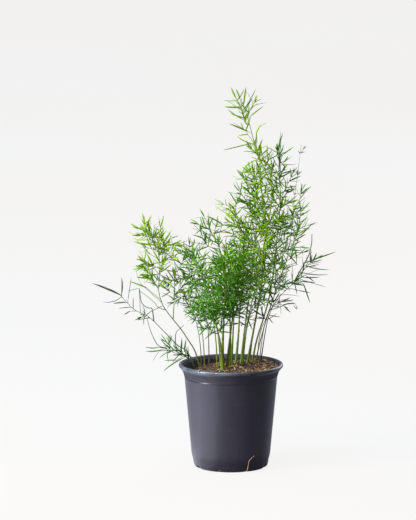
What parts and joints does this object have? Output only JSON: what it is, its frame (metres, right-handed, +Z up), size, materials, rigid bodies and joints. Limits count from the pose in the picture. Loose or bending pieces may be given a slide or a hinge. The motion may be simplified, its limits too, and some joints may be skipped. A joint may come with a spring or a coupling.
{
  "type": "foxtail fern",
  "caption": "Asparagus foxtail fern with arching needle-leaved fronds on bare canes, growing in a round tapered black nursery pot of potting mix.",
  "frame": {"origin": "middle of the pot's foot, on the surface that it stands on", "axes": "+Z up along the pot's axis, the pictured side towards -Y, +X to the right in the picture"},
  "size_m": [0.3925, 0.2128, 0.605],
  "materials": {
    "pot_plastic": "satin",
    "potting_mix": "matte",
    "root_skin": "matte",
    "bark": "matte",
    "perlite": "matte",
    "frond_bright": "satin",
    "frond_green": "satin",
    "frond_dark": "satin"
  },
  "bodies": {
    "root": {"nursery_pot": "pot_plastic", "potting_mix": "potting_mix", "drain_root": "root_skin", "surface_root": "root_skin", "bark_chip_01": "bark", "bark_chip_02": "bark", "bark_chip_03": "bark", "bark_chip_04": "bark", "perlite_grain_01": "perlite", "perlite_grain_02": "perlite", "perlite_grain_03": "perlite", "perlite_grain_04": "perlite", "frond_tall_leader": "frond_bright", "frond_second_leader": "frond_green", "frond_far_right_wisp": "frond_dark", "frond_right_shoulder": "frond_green", "frond_right_arch": "frond_dark", "frond_right_low": "frond_dark", "frond_upper_middle": "frond_green", "frond_upper_left": "frond_green", "frond_middle_left_tip": "frond_green", "frond_front_bush": "frond_bright", "frond_front_bush_right": "frond_bright", "frond_centre_left_arch": "frond_green", "frond_left_plume": "frond_bright", "frond_left_middle": "frond_green", "frond_far_left_wisp": "frond_dark", "frond_low_left": "frond_green", "frond_left_bare": "frond_dark", "frond_left_back": "frond_dark", "frond_centre_back": "frond_dark", "frond_right_back": "frond_green", "frond_front_right_arch": "frond_bright", "frond_back_left_arch": "frond_dark", "frond_back_right_low": "frond_dark", "frond_front_left_low": "frond_green"}
  },
  "joints": []
}
